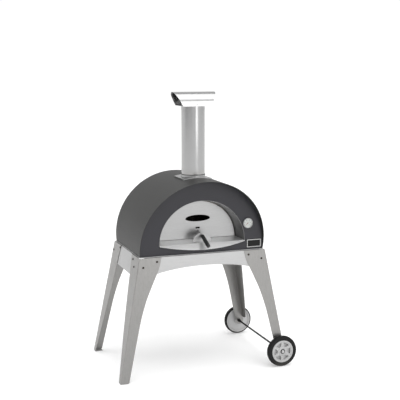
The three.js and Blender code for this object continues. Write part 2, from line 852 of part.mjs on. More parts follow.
function doorPanelGeometry() {
  const baseZ = hearthZ + 0.6;
  const sheetShape = domeShape(doorHalfWidth, doorHeight, baseZ);
  sheetShape.holes.push(ventOutline(0));
  const sheet = upright(sheetShape, doorFrontY, doorFrontY + doorSheet, 32);
  const rimShape = domeShape(doorHalfWidth, doorHeight, baseZ);
  const opening = domeShape(doorHalfWidth - doorSheet, doorHeight - 2 * doorSheet, baseZ + doorSheet);
  rimShape.holes.push(opening);
  const rim = upright(rimShape, doorFrontY + doorSheet / 2, doorFrontY + doorDepth, 32);
  const slot = boxBetween([-14, doorFrontY - 5, handleZ - 5.5], [14, doorFrontY + 5, handleZ + 5.5]);
  const rodHole = rodAlongY(rodRadius + 0.8, doorFrontY - 5, doorFrontY + 5, 0, rodStart.z - 0.7, 24);
  return cut(join(sheet, rim), slot, rodHole);
}

function doorBackGeometry() {
  const shape = domeShape(doorHalfWidth - 2.2, doorHeight - 4.2, hearthZ + 0.6 + doorSheet + 0.4);
  shape.holes.push(ventOutline(1));
  return upright(shape, doorFrontY + doorDepth - doorSheet - 0.1, doorFrontY + doorDepth - 0.1, 32);
}

// A round bar from one point to another in the middle plane
function barBetween(radius, from, to) {
  const run = Math.hypot(to.y - from.y, to.z - from.z);
  const bar = new THREE.CylinderGeometry(radius, radius, run, 20);
  bar.translate(0, run / 2, 0);
  bar.rotateX(Math.atan2(to.z - from.z, to.y - from.y));
  bar.translate(0, from.y, from.z);
  return bar;
}

function alongGrip(distance) {
  return {
    y: rodBend.y - distance * Math.cos(handleAngle),
    z: rodBend.z - distance * Math.sin(handleAngle),
  };
}

// The rod leaves the door under the slot, bends at the guard and ends inside the grip
function rodGeometry() {
  const elbow = new THREE.SphereGeometry(rodRadius, 20, 10);
  elbow.translate(0, rodBend.y, rodBend.z);
  const toGuard = barBetween(rodRadius, rodStart, rodBend);
  const toGrip = barBetween(rodRadius, rodBend, alongGrip(gripStart + gripBoreDepth - 2));
  return join(toGuard, elbow, toGrip);
}

function gripGeometry() {
  const bore = rodRadius + seam;
  const grip = turned([
    [bore, 0], [gripRadius - 1.5, 0], [gripRadius, 3], [gripRadius, gripLength - 12],
    [gripRadius - 2.2, gripLength - 5], [gripRadius - 6.5, gripLength - 1], [0, gripLength],
    [0, gripBoreDepth], [bore, gripBoreDepth],
  ], 28);
  grip.rotateX(Math.PI + handleAngle);
  const start = alongGrip(gripStart);
  grip.translate(0, start.y, start.z);
  return grip;
}

function guardGeometry() {
  const outline = domeShape(guard.halfWidth, guard.height, guard.base);
  const plate = upright(outline, rodBend.y - 1, rodBend.y + 1, 28);
  return cut(plate, rodAlongY(rodRadius + 0.8, rodBend.y - 20, rodBend.y + 20, 0, rodBend.z, 24));
}

// A collar behind the door sheet holds the rod
function retainerGeometry() {
  const bore = rodRadius + 1;
  const front = doorFrontY + doorSheet + seam;
  const collar = turned([[bore, front], [13, front], [13, front + 2.6], [bore, front + 2.6]], 24);
  collar.translate(0, 0, rodStart.z - 0.3);
  return collar;
}

function makeDoor() {
  return [
    node('door_panel', doorPanelGeometry(), materials.stainless),
    node('door_back_sheet', doorBackGeometry(), materials.vaultSteel),
    node('handle_rod', rodGeometry(), materials.stainless),
    node('handle_retainer', retainerGeometry(), materials.zincSteel),
    node('hand_guard', guardGeometry(), materials.stainless),
    node('door_grip', gripGeometry(), materials.blackPlastic),
  ];
}

const oven = new THREE.Group();
oven.add(...makeCasing(), ...makeMouth(), ...makeChamber(), ...makeFlue(), makeGauge(), ...makeDoor());
oven.add(...makeLegs(), ...makeFeet(), ...makeRails(), ...makeBolts(), makeWheels());

// The frame's origin is under the middle of the whole outline
oven.position.x = (cornerX(footPadHeight + seam) - (wheelX + wheelRadius)) / 2;

const group = new THREE.Group();
group.add(oven);

export default group;
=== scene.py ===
import json
import math

import bmesh
import bpy
from mathutils import Matrix, Vector
from mathutils.bvhtree import BVHTree


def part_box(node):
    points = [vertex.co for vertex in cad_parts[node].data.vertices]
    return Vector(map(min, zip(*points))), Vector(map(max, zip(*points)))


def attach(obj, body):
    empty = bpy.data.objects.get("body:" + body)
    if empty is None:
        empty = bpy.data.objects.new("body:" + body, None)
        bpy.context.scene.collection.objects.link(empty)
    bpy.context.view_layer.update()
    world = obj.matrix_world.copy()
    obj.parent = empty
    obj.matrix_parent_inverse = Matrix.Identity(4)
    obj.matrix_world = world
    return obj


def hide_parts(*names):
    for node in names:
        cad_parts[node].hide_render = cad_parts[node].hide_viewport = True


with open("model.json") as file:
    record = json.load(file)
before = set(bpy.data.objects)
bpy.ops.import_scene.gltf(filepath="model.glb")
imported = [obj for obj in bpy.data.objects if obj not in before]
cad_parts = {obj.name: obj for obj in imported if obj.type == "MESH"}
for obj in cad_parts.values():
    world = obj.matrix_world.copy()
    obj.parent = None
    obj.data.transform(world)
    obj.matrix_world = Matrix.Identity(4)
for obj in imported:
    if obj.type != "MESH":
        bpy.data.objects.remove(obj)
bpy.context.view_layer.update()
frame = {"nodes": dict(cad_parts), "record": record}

bodyOfNode = {node: body for body, nodes in frame["record"]["behaviour"]["bodies"].items() for node in nodes}
slotOfNode = {part["node"]: part["material_slot"] for part in frame["record"]["subparts"]}


# small tools for node trees

def addNode(tree, kind, settings=None, **inputs):
    node = tree.nodes.new(kind)
    for name, value in (settings or {}).items():
        setattr(node, name, value)
    for name, value in inputs.items():
        plug(tree, value, node.inputs[int(name[1:]) if name[0] == "i" and name[1:].isdigit() else name])
    return node


def plug(tree, value, target):
    if isinstance(value, bpy.types.NodeSocket):
        tree.links.new(value, target)
    else:
        target.default_value = value


def startGroup(name, inputs, outputs):
    tree = bpy.data.node_groups.new(name, "ShaderNodeTree")
    for label, kind, value in inputs:
        made = tree.interface.new_socket(label, in_out="INPUT", socket_type=kind)
        made.default_value = value
    for label, kind in outputs:
        tree.interface.new_socket(label, in_out="OUTPUT", socket_type=kind)
    return tree, tree.nodes.new("NodeGroupInput").outputs, tree.nodes.new("NodeGroupOutput").inputs


def colourMix(tree, factor, first, second, blend="MIX"):
    node = addNode(tree, "ShaderNodeMix", {"data_type": "RGBA", "blend_type": blend})
    plug(tree, factor, node.inputs[0])
    plug(tree, first, node.inputs[6])
    plug(tree, second, node.inputs[7])
    return node.outputs[2]


def remap(tree, value, fromLow, fromHigh, toLow, toHigh):
    node = addNode(tree, "ShaderNodeMapRange", {"interpolation_type": "SMOOTHSTEP"})
    for i, number in enumerate((value, fromLow, fromHigh, toLow, toHigh)):
        plug(tree, number, node.inputs[i])
    return node.outputs[0]


def objectPoint(tree):
    return addNode(tree, "ShaderNodeTexCoord").outputs["Object"]


def noise(tree, point, **inputs):
    return addNode(tree, "ShaderNodeTexNoise", Vector=point, **inputs).outputs["Fac"]


def mathNode(tree, operation, first, second):
    return addNode(tree, "ShaderNodeMath", {"operation": operation}, i0=first, i1=second).outputs[0]


colourKind, floatKind, vectorKind = "NodeSocketColor", "NodeSocketFloat", "NodeSocketVector"
greyDefault = (0.5, 0.5, 0.5, 1)


# shared effects, built once

def makeBrushedGrain():
    # fine drawn lines, stretched along one direction
    tree, given, out = startGroup("brushed grain", [
        ("Base", colourKind, greyDefault), ("Streak", colourKind, greyDefault),
        ("Squeeze", vectorKind, (1, 1, 1)), ("Smooth", floatKind, 0.25), ("Rough", floatKind, 0.4),
    ], [("Colour", colourKind), ("Roughness", floatKind), ("Height", floatKind)])
    point = objectPoint(tree)
    stretched = addNode(tree, "ShaderNodeMapping", Vector=point, Scale=given["Squeeze"]).outputs[0]
    fine = noise(tree, stretched, Scale=90.0, Detail=4.0)
    broad = noise(tree, stretched, Scale=18.0, Detail=2.0)
    mask = remap(tree, mathNode(tree, "MULTIPLY", fine, broad), 0.16, 0.36, 0.0, 1.0)
    plug(tree, colourMix(tree, mask, given["Base"], given["Streak"]), out["Colour"])
    plug(tree, remap(tree, fine, 0.3, 0.7, given["Smooth"], given["Rough"]), out["Roughness"])
    plug(tree, fine, out["Height"])
    return tree


def makePowderCoat():
    # a very fine pebbled skin with faint cloudy variation
    tree, given, out = startGroup("powder coat", [
        ("Base", colourKind, greyDefault), ("Cloud", colourKind, greyDefault),
        ("Grain Size", floatKind, 900.0), ("Smooth", floatKind, 0.4), ("Rough", floatKind, 0.6),
    ], [("Colour", colourKind), ("Roughness", floatKind), ("Height", floatKind)])
    point = objectPoint(tree)
    pebbles = noise(tree, point, Scale=given["Grain Size"], Detail=2.0)
    cloud = noise(tree, point, Scale=5.5, Detail=4.0)
    mask = remap(tree, cloud, 0.35, 0.7, 0.0, 1.0)
    plug(tree, colourMix(tree, mask, given["Base"], given["Cloud"]), out["Colour"])
    plug(tree, remap(tree, pebbles, 0.3, 0.7, given["Smooth"], given["Rough"]), out["Roughness"])
    plug(tree, pebbles, out["Height"])
    return tree


def makeSpeckle():
    # scattered grit in a fired or fibrous body
    tree, given, out = startGroup("speckle", [
        ("Base", colourKind, greyDefault), ("Speck", colourKind, greyDefault),
        ("Size", floatKind, 160.0), ("Amount", floatKind, 0.5),
    ], [("Colour", colourKind), ("Height", floatKind)])
    point = objectPoint(tree)
    grit = addNode(tree, "ShaderNodeTexVoronoi", Vector=point, Scale=given["Size"]).outputs["Distance"]
    cloud = noise(tree, point, Scale=9.0, Detail=6.0)
    specks = remap(tree, grit, 0.12, 0.3, given["Amount"], 0.0)
    tinted = colourMix(tree, remap(tree, cloud, 0.35, 0.65, 0.0, 0.5), given["Base"], given["Speck"])
    plug(tree, colourMix(tree, specks, tinted, given["Speck"]), out["Colour"])
    plug(tree, mathNode(tree, "ADD", grit, cloud), out["Height"])
    return tree


def makeRisingTint():
    # a stain that fades with height between two levels, broken up by noise
    tree, given, out = startGroup("rising tint", [
        ("Colour", colourKind, greyDefault), ("Tint", colourKind, greyDefault),
        ("Full At", floatKind, 0.0), ("Gone At", floatKind, 0.1), ("Strength", floatKind, 0.5),
    ], [("Colour", colourKind)])
    point = objectPoint(tree)
    height = addNode(tree, "ShaderNodeSeparateXYZ", Vector=point).outputs["Z"]
    wisps = noise(tree, point, Scale=22.0, Detail=5.0)
    amount = remap(tree, height, given["Full At"], given["Gone At"], given["Strength"], 0.0)
    broken = mathNode(tree, "MULTIPLY", amount, remap(tree, wisps, 0.25, 0.6, 0.35, 1.0))
    plug(tree, colourMix(tree, broken, given["Colour"], given["Tint"]), out["Colour"])
    return tree


def makeHandlingMarks():
    # faint wiped smears that change how sharp a reflection is
    tree, given, out = startGroup("handling marks", [
        ("Roughness", floatKind, 0.3), ("Amount", floatKind, 0.08), ("Scale", floatKind, 9.0),
    ], [("Roughness", floatKind)])
    point = objectPoint(tree)
    smear = noise(tree, point, Scale=given["Scale"], Detail=6.0, Distortion=1.2)
    extra = remap(tree, smear, 0.4, 0.75, 0.0, given["Amount"])
    plug(tree, mathNode(tree, "ADD", given["Roughness"], extra), out["Roughness"])
    return tree


brushedGrain = makeBrushedGrain()
powderCoat = makePowderCoat()
speckle = makeSpeckle()
risingTint = makeRisingTint()
handlingMarks = makeHandlingMarks()


def placeGroup(tree, group, **inputs):
    node = addNode(tree, "ShaderNodeGroup", {"node_tree": group})
    for name, value in inputs.items():
        plug(tree, value, node.inputs[name.replace("_", " ")])
    return node.outputs


def startMaterial(name, metallic=0.0, roughness=0.5, **plain):
    material = bpy.data.materials.new(name)
    material.use_nodes = True
    tree = material.node_tree
    shader = tree.nodes["Principled BSDF"]
    shader.inputs["Metallic"].default_value = metallic
    shader.inputs["Roughness"].default_value = roughness
    for label, value in plain.items():
        shader.inputs[label.replace("_", " ")].default_value = value
    return material, tree, shader


def bumpInto(tree, shader, height, strength, distance):
    bump = addNode(tree, "ShaderNodeBump", Height=height, Strength=strength, Distance=distance)
    plug(tree, bump.outputs[0], shader.inputs["Normal"])


def grey(value, tint=(1, 1, 1)):
    return (value * tint[0], value * tint[1], value * tint[2], 1)


# finishes

steelFinishes = {
    # squeeze is the way the grain runs; smooth and rough bound the roughness
    "polishedSteel": dict(base=grey(0.50), streak=grey(0.47), squeeze=(1, 4, 16),
                          smooth=0.24, rough=0.30, marks=0.03, bump=0.015),
    "doorSteel": dict(base=grey(0.355), streak=grey(0.335), squeeze=(1, 4, 16), smooth=0.30,
                      rough=0.36, marks=0.03, bump=0.015),
    "pipeSteel": dict(base=grey(0.385), streak=grey(0.355), squeeze=(1, 1, 16), smooth=0.15,
                      rough=0.19, marks=0.01, bump=0.008),
    "hoodSteel": dict(base=grey(0.46), streak=grey(0.43), squeeze=(1, 1, 16), smooth=0.20,
                      rough=0.26, marks=0.02, bump=0.008),
    # painted shade: near-black steel for the door's back sheet, so the slot through the door reads dark
    "doorBackShadeSteel": dict(base=grey(0.018, (1, 0.95, 0.9)), streak=grey(0.010),
                       squeeze=(4, 1, 4), smooth=0.5, rough=0.7, marks=0.1, bump=0.04),
    "legSteel": dict(base=grey(0.28, (1, 0.985, 0.96)), streak=grey(0.255, (1, 0.985, 0.96)),
                     squeeze=(14, 14, 0.8), smooth=0.32, rough=0.40, marks=0.04, bump=0.02),
    "railSteel": dict(base=grey(0.41), streak=grey(0.39), squeeze=(0.8, 0.8, 16),
                      smooth=0.32, rough=0.40, marks=0.04, bump=0.02),
    "zincSteel": dict(base=grey(0.42), streak=grey(0.37), squeeze=(9, 9, 9), smooth=0.36,
                      rough=0.5, marks=0.08, bump=0.04),
    "vaultSteel": dict(base=grey(0.30, (1, 0.93, 0.85)), streak=grey(0.16, (1, 0.9, 0.8)),
                       squeeze=(1, 9, 1),
                       smooth=0.4, rough=0.6, marks=0.15, bump=0.06),
    # painted light: the sill gets a brighter copy of the steel than the rest of the front, carrying the light
    # its upward face catches
    "sillLitSteel": dict(base=grey(0.82), streak=grey(0.78), squeeze=(1, 8, 1), smooth=0.42,
                      rough=0.52, marks=0.04, bump=0.02),
    "linerSteel": dict(base=grey(0.30), streak=grey(0.28), squeeze=(4, 1, 4), smooth=0.30,
                       rough=0.38, marks=0.04, bump=0.02),
    "screwSteel": dict(base=grey(0.055, (1, 0.85, 0.72)), streak=grey(0.035, (1, 0.85, 0.7)),
                       squeeze=(9, 9, 9), smooth=0.4, rough=0.55, marks=0.08, bump=0.03),
}


def makeSteel(name, finish, tint=None):
    material, tree, shader = startMaterial(name, metallic=1.0)
    grain = placeGroup(tree, brushedGrain, Base=finish["base"], Streak=finish["streak"],
                       Squeeze=finish["squeeze"], Smooth=finish["smooth"], Rough=finish["rough"])
    colour = grain["Colour"]
    if tint:
        colour = placeGroup(tree, risingTint, Colour=colour, **tint)["Colour"]
    plug(tree, colour, shader.inputs["Base Color"])
    marks = placeGroup(tree, handlingMarks, Roughness=grain["Roughness"], Amount=finish["marks"])
    plug(tree, marks["Roughness"], shader.inputs["Roughness"])
    bumpInto(tree, shader, grain["Height"], finish["bump"], distance=0.0004)
    return material


paintFinishes = {
    "shellPaint": dict(base=grey(0.025, (1, 1, 0.965)), cloud=grey(0.0225, (1, 1, 0.965)),
                       grain=1100, smooth=0.48, rough=0.62, bump=0.08),
    "facePaint": dict(base=(0.0135, 0.0130, 0.0185, 1), cloud=(0.0115, 0.0110, 0.0155, 1),
                      grain=1300, smooth=0.44, rough=0.56, bump=0.05),
    "blackCoat": dict(base=grey(0.008), cloud=grey(0.011), grain=1200, smooth=0.40,
                      rough=0.52, bump=0.04, specular=0.16),
    "whiteEnamel": dict(base=grey(0.74, (1, 1, 0.97)), cloud=grey(0.70, (1, 1, 0.96)),
                        grain=700, smooth=0.3, rough=0.4, bump=0.02),
    "lightPrint": dict(base=grey(0.42), cloud=grey(0.38), grain=900, smooth=0.4, rough=0.5, bump=0.02),
    "redLacquer": dict(base=(0.36, 0.02, 0.014, 1), cloud=(0.28, 0.016, 0.012, 1),
                       grain=900, smooth=0.3, rough=0.4, bump=0.02),
    "printedGrey": dict(base=grey(0.10), cloud=grey(0.12), grain=900, smooth=0.45,
                        rough=0.55, bump=0.02),
}


def makeCoated(name, finish):
    material, tree, shader = startMaterial(name, Specular_IOR_Level=finish.get("specular", 0.5))
    skin = placeGroup(tree, powderCoat, Base=finish["base"], Cloud=finish["cloud"],
                      Grain_Size=float(finish["grain"]), Smooth=finish["smooth"], Rough=finish["rough"])
    colour = skin["Colour"]
    if "dust" in finish:
        colour = placeGroup(tree, risingTint, Colour=colour, **finish["dust"])["Colour"]
    plug(tree, colour, shader.inputs["Base Color"])
    plug(tree, skin["Roughness"], shader.inputs["Roughness"])
    bumpInto(tree, shader, skin["Height"], finish["bump"], distance=finish.get("depth", 0.0003))
    return material


groundDust = dict(Tint=(0.20, 0.185, 0.16, 1), Full_At=0.0, Gone_At=0.06, Strength=0.14)
mouldedFinishes = {
    "blackPlastic": dict(base=grey(0.014), cloud=grey(0.02), grain=1500, smooth=0.38, rough=0.5,
                         bump=0.06, depth=0.0004),
    "tyreRubber": dict(base=grey(0.006), cloud=grey(0.008), grain=800, smooth=0.62, rough=0.8,
                       bump=0.12, depth=0.0004, dust=groundDust, specular=0.25),
    "hubPlastic": dict(base=grey(0.44), cloud=grey(0.38), grain=1500, smooth=0.36, rough=0.48,
                       bump=0.05, depth=0.0004, dust=groundDust),
}
firedFinishes = {
    "ceramicFibre": dict(base=grey(0.72, (1, 0.97, 0.9)), speck=grey(0.6, (1, 0.95, 0.85)),
                         size=90.0, amount=0.3, roughness=0.95, bump=0.5),
    "fibreBoard": dict(base=grey(0.62, (1, 0.94, 0.84)), speck=grey(0.5, (1, 0.92, 0.8)),
                       size=140.0, amount=0.4, roughness=0.92, bump=0.3),
    "firebrick": dict(base=grey(0.52, (1, 0.88, 0.7)), speck=grey(0.3, (1, 0.8, 0.6)),
                      size=210.0, amount=0.6, roughness=0.9, bump=0.35),
}


def makeFired(name, finish):
    material, tree, shader = startMaterial(name, roughness=finish["roughness"])
    grit = placeGroup(tree, speckle, Base=finish["base"], Speck=finish["speck"],
                      Size=finish["size"], Amount=finish["amount"])
    plug(tree, grit["Colour"], shader.inputs["Base Color"])
    bumpInto(tree, shader, grit["Height"], finish["bump"], distance=0.0008)
    return material


glass = {"bend": 1.45, "tint": (0.97, 0.99, 0.99, 1), "smooth": 0.015, "rough": 0.05}


def makeGlass(name):
    material, tree, shader = startMaterial(name, roughness=0.03, Transmission_Weight=1.0, IOR=glass["bend"])
    waves = noise(tree, objectPoint(tree), Scale=30.0, Detail=1.0)
    roughness = remap(tree, waves, 0.3, 0.7, glass["smooth"], glass["rough"])
    plug(tree, roughness, shader.inputs["Roughness"])
    shader.inputs["Base Color"].default_value = glass["tint"]
    return material


pipeLow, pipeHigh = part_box("flue_pipe")
pipeFoot = pipeLow.z
middleX = (pipeLow.x + pipeHigh.x) / 2   # the oven body's own middle
heatTint = dict(Tint=grey(0.24, (1, 0.92, 0.82)), Full_At=pipeFoot - 0.02, Gone_At=pipeFoot + 0.06,
                Strength=0.3)

finishes = {
    "stainless_steel": makeSteel("polished steel", steelFinishes["polishedSteel"]),
    "leg_steel": makeSteel("leg steel", steelFinishes["legSteel"]),
    "rail_steel": makeSteel("rail steel", steelFinishes["railSteel"]),
    "zinc_steel": makeSteel("zinc plated steel", steelFinishes["zincSteel"]),
    "vault_steel": makeSteel("heat tinted steel", steelFinishes["vaultSteel"]),
    "shell_paint": makeCoated("shell powder coat", paintFinishes["shellPaint"]),
    "face_paint": makeCoated("face powder coat", paintFinishes["facePaint"]),
    "black_steel": makeCoated("black coated steel", paintFinishes["blackCoat"]),
    "dial_enamel": makeCoated("dial enamel", paintFinishes["whiteEnamel"]),
    "needle_red": makeCoated("red lacquer", paintFinishes["redLacquer"]),
    "ceramic_fibre": makeFired("ceramic fibre", firedFinishes["ceramicFibre"]),
    "fibre_board": makeFired("fibre board", firedFinishes["fibreBoard"]),
    "firebrick": makeFired("firebrick", firedFinishes["firebrick"]),
    "black_plastic": makeCoated("black plastic", mouldedFinishes["blackPlastic"]),
    "tyre_rubber": makeCoated("tyre rubber", mouldedFinishes["tyreRubber"]),
    "hub_plastic": makeCoated("hub plastic", mouldedFinishes["hubPlastic"]),
    "gauge_glass": makeGlass("gauge glass"),
}
pipeSteel = makeSteel("flue steel", steelFinishes["pipeSteel"], heatTint)
hoodSteel = makeSteel("hood steel", steelFinishes["hoodSteel"])
# painted shade: the near-black finish for the door's back sheet, seen through the slot
doorBackShadeSteel = makeSteel("door back painted shade", steelFinishes["doorBackShadeSteel"])
doorSteel = makeSteel("door steel", steelFinishes["doorSteel"])
linerSteel = makeSteel("liner steel", steelFinishes["linerSteel"])
# painted light: the brighter sill copy of the steel
sillLitSteel = makeSteel("sill steel painted light", steelFinishes["sillLitSteel"])
screwSteel = makeSteel("screw steel", steelFinishes["screwSteel"])
printedGrey = makeCoated("printed grey", paintFinishes["printedGrey"])
badgeLine = makeCoated("badge line", paintFinishes["lightPrint"])
print("finishes made")


# sheet and machined pieces: each takes the place of the CAD solid, with worked edges

cleaning = {"weld": 0.00002, "flatDegrees": 1.0}


def cleanCopy(node, name, mergeFaces=True):
    source = frame["nodes"][node]
    mesh = source.data.copy()
    mesh.name = name
    mesh.materials.clear()
    work = bmesh.new()
    work.from_mesh(mesh)
    bmesh.ops.remove_doubles(work, verts=work.verts, dist=cleaning["weld"])
    if mergeFaces:
        limit = math.radians(cleaning["flatDegrees"])
        bmesh.ops.dissolve_limit(work, angle_limit=limit, verts=work.verts, edges=work.edges)
    work.to_mesh(mesh)
    work.free()
    piece = bpy.data.objects.new(name, mesh)
    bpy.context.scene.collection.objects.link(piece)
    return piece


def finishPiece(piece, body, material, replaces=()):
    piece.data.materials.clear()
    piece.data.materials.append(material)
    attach(piece, body)
    if replaces:
        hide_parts(*replaces)


def workedEdges(piece, width, segments=2, angle=35, sharpFrom=50):
    if width > 0:
        bevel = piece.modifiers.new("edges", "BEVEL")
        bevel.width = width
        bevel.segments = segments
        bevel.limit_method = "ANGLE"
        bevel.angle_limit = math.radians(angle)
        bevel.use_clamp_overlap = True
    applyModifiers(piece)
    piece.data.shade_smooth()
    piece.data.set_sharp_from_angle(angle=math.radians(sharpFrom))
    weighted = piece.modifiers.new("flat faces stay flat", "WEIGHTED_NORMAL")
    weighted.keep_sharp = True
    applyModifiers(piece)


def applyModifiers(piece):
    bpy.context.view_layer.update()
    shaped = bpy.data.meshes.new_from_object(piece.evaluated_get(bpy.context.evaluated_depsgraph_get()))
    old = piece.data
    piece.modifiers.clear()
    piece.data = shaped
    bpy.data.meshes.remove(old)


edgeWidths = {   # metres taken off each worked edge
    "outer_shell": 0.0006, "front_panel": 0.0006, "back_panel": 0.0006, "base_pan": 0.001,
    "mouth_liner": 0.0005, "sill_plate": 0.0006, "badge_plate": 0.0006,
    "inner_vault": 0.0006, "vault_front_wall": 0.0005, "vault_back_wall": 0.0005,
    "hearth_tile_front_left": 0.0025, "hearth_tile_front_right": 0.0025,
    "hearth_tile_rear_left": 0.0025, "hearth_tile_rear_right": 0.0025,
    "flue_spigot": 0.0004, "flue_collar": 0.0012, "flue_pipe": 0.0004, "chimney_cap": 0.0004,
    "cap_rivet_front": 0.0003, "cap_rivet_rear": 0.0003,
    "gauge_case": 0.0006, "gauge_dial": 0.0002, "gauge_needle": 0.0002, "gauge_glass": 0.0004,
    "door_panel": 0.0005, "door_back_sheet": 0.0004, "handle_rod": 0.0005, "handle_retainer": 0.0004,
    "hand_guard": 0.0006, "door_grip": 0.0009,
    "leg_front_left": 0.0008, "leg_rear_left": 0.0008, "leg_front_right": 0.0008, "leg_rear_right": 0.0008,
    "rail_front": 0.0006, "rail_rear": 0.0006, "rail_left": 0.0006, "rail_right": 0.0006,
    "foot_pad_front": 0.0012, "foot_pad_rear": 0.0012,
    "leg_bolt_front_left": 0.0004, "leg_bolt_front_right": 0.0004,
    "leg_bolt_rear_left": 0.0004, "leg_bolt_rear_right": 0.0004,
    "axle": 0.0006, "axle_spacer_front": 0.0004, "axle_spacer_rear": 0.0004,
    "axle_cap_front": 0.0005, "axle_cap_rear": 0.0005,
    "wheel_bush_front": 0.0005, "wheel_bush_rear": 0.0005,
    "wheel_hub_front": 0.0009, "wheel_hub_rear": 0.0009,
    "wheel_tyre_front": 0.0, "wheel_tyre_rear": 0.0,
}
ownMaterial = {
    # the door's back sheet takes the near-black painted shade finish
    "flue_pipe": pipeSteel, "chimney_cap": hoodSteel, "flue_collar": doorSteel, "door_back_sheet": doorBackShadeSteel,
    "cap_rivet_front": hoodSteel, "cap_rivet_rear": hoodSteel,
    "leg_bolt_front_left": screwSteel, "leg_bolt_front_right": screwSteel,
    "leg_bolt_rear_left": screwSteel, "leg_bolt_rear_right": screwSteel,
    # the sill takes the brighter painted-light copy of the steel
    "door_panel": doorSteel, "hand_guard": doorSteel, "mouth_liner": linerSteel, "sill_plate": sillLitSteel,
}

legNodes = ("leg_front_left", "leg_rear_left", "leg_front_right", "leg_rear_right")
legFold = {   # metres taken off outside and inside the bend, and what counts as the bend
    "outer": 0.0042, "inner": 0.0016, "steps": 4, "offLine": 0.0003, "squareDot": 0.5, "sharpFrom": 8,
}


def roundFold(piece):
    # the legs are folded sheet, so the long corner edge is a bend and not an arris
    work = bmesh.new()
    work.from_mesh(piece.data)
    for convex, offset in ((True, legFold["outer"]), (False, legFold["inner"])):
        corners = [edge for edge in work.edges if isFold(edge) and edge.is_convex == convex]
        longest = max(corners, key=lambda edge: edge.calc_length())
        start, end = (corner.co.copy() for corner in longest.verts)
        folds = [edge for edge in corners if isOnLine(edge, start, end)]
        bmesh.ops.bevel(work, geom=folds, offset=offset, segments=legFold["steps"], profile=0.5,
                        affect="EDGES", clamp_overlap=False)
    work.to_mesh(piece.data)
    work.free()


def isFold(edge):
    if len(edge.link_faces) != 2:
        return False
    first, second = (face.normal for face in edge.link_faces)
    return abs(first.dot(second)) < legFold["squareDot"]


def isOnLine(edge, start, end):
    along = (end - start).normalized()
    return all((corner.co - start).cross(along).length < legFold["offLine"] for corner in edge.verts)


for node, width in edgeWidths.items():
    piece = cleanCopy(node, f"{node}_shown", mergeFaces=node not in legNodes)
    if node in legNodes:
        roundFold(piece)
        workedEdges(piece, width, sharpFrom=legFold["sharpFrom"])
    else:
        workedEdges(piece, width)
    slot = slotOfNode[node]
    finishPiece(piece, bodyOfNode[node], ownMaterial.get(node, finishes[slot]), [node])

for node, shown in frame["nodes"].items():   # what stays as the CAD made it still gets its finish
    shown.data.materials.clear()
    shown.data.materials.append(finishes[slotOfNode[node]])
print("pieces with worked edges:", len(edgeWidths))


# small pieces that only the visual model has

def placeMesh(name, work):
    bmesh.ops.recalc_face_normals(work, faces=work.faces)
    mesh = bpy.data.meshes.new(name)
    work.to_mesh(mesh)
    work.free()
    piece = bpy.data.objects.new(name, mesh)
    bpy.context.scene.collection.objects.link(piece)
    return piece


def ringOf(work, count, radiusAt, height):
    angles = [2 * math.pi * i / count for i in range(count)]
    return [work.verts.new((radiusAt(angle) * math.cos(angle), radiusAt(angle) * math.sin(angle), height))
            for angle in angles]


def bridge(work, lower, upper):
    count = len(lower)
    for i in range(count):
        j = (i + 1) % count
        work.faces.new((lower[i], lower[j], upper[j], upper[i]))


def hexRadius(flat):
    step = math.pi / 3
    return lambda angle: flat / math.cos((angle % step) - step / 2)


def roundRadius(radius):
    return lambda angle: radius


# each level of a screw head: share of the radius or socket, then share of the height
screwShape = {
    "head": ((0.97, 0.0), (1.0, 0.22), (0.9, 0.66), (0.72, 0.92), (0.58, 1.0)),
    "socket": ((1.0, 0.97), (0.96, 0.35)), "socketShare": 0.36, "sides": 24, "lift": 0.0002,
}


def screwMesh(radius, height):
    # a domed head with a six-sided socket, standing on z = 0
    work = bmesh.new()
    socket = radius * screwShape["socketShare"]
    levels = [(roundRadius(radius * wide), height * up) for wide, up in screwShape["head"]]
    levels += [(hexRadius(socket * wide), height * up) for wide, up in screwShape["socket"]]
    rings = [ringOf(work, screwShape["sides"], radiusAt, level) for radiusAt, level in levels]
    for lower, upper in zip(rings, rings[1:]):
        bridge(work, lower, upper)
    work.faces.new(rings[-1])
    work.faces.new(list(reversed(rings[0])))
    return work


def addScrew(name, point, outward, screw):
    piece = placeMesh(name, screwMesh(screw["radius"], screw["height"]))
    turn = Vector(outward).to_track_quat("Z", "Y").to_matrix().to_4x4()
    piece.data.transform(Matrix.Translation(point) @ turn)
    piece.data.shade_smooth()
    piece.data.set_sharp_from_angle(angle=math.radians(50))
    finishPiece(piece, "oven", screwSteel)


def surfacePoint(node, start, direction):
    # where a line first meets a CAD node, and which way that surface faces
    target = frame["nodes"][node]
    corners = [target.matrix_world @ vertex.co for vertex in target.data.vertices]
    faces = [tuple(face.vertices) for face in target.data.polygons]
    point, normal, _, _ = BVHTree.FromPolygons(corners, faces).ray_cast(Vector(start), Vector(direction))
    if point is None:
        raise ValueError(f"no surface on {node}")
    return point, normal


def seatScrew(name, node, start, direction, screw):
    point, normal = surfacePoint(node, start, direction)
    if normal.dot(Vector(direction)) > 0:
        normal = -normal
    addScrew(name, point + normal * screwShape["lift"], normal, screw)


# screws through the legs: distance from the middle of that side, then height
legScrew = {
    "radius": 0.0065, "height": 0.0034, "face": (0.3925, 0.706),
    "side": {"front": ((0.174, 0.737), (0.218, 0.698)), "rear": ((0.140, 0.748), (0.281, 0.706))},
    "fromFront": 0.6, "fromSide": 0.9,
}
for end, outY in (("front", -1), ("rear", 1)):
    for side, outX in (("left", -1), ("right", 1)):
        leg = f"leg_{end}_{side}"
        across, height = legScrew["face"]
        start = (middleX + outX * across, outY * legScrew["fromFront"], height)
        seatScrew(f"screw_{leg}_face", leg, start, (0, -outY, 0), legScrew)
        for i, (across, height) in enumerate(legScrew["side"][end]):
            start = (middleX + outX * legScrew["fromSide"], outY * across, height)
            seatScrew(f"screw_{leg}_side_{i}", leg, start, (-outX, 0, 0), legScrew)

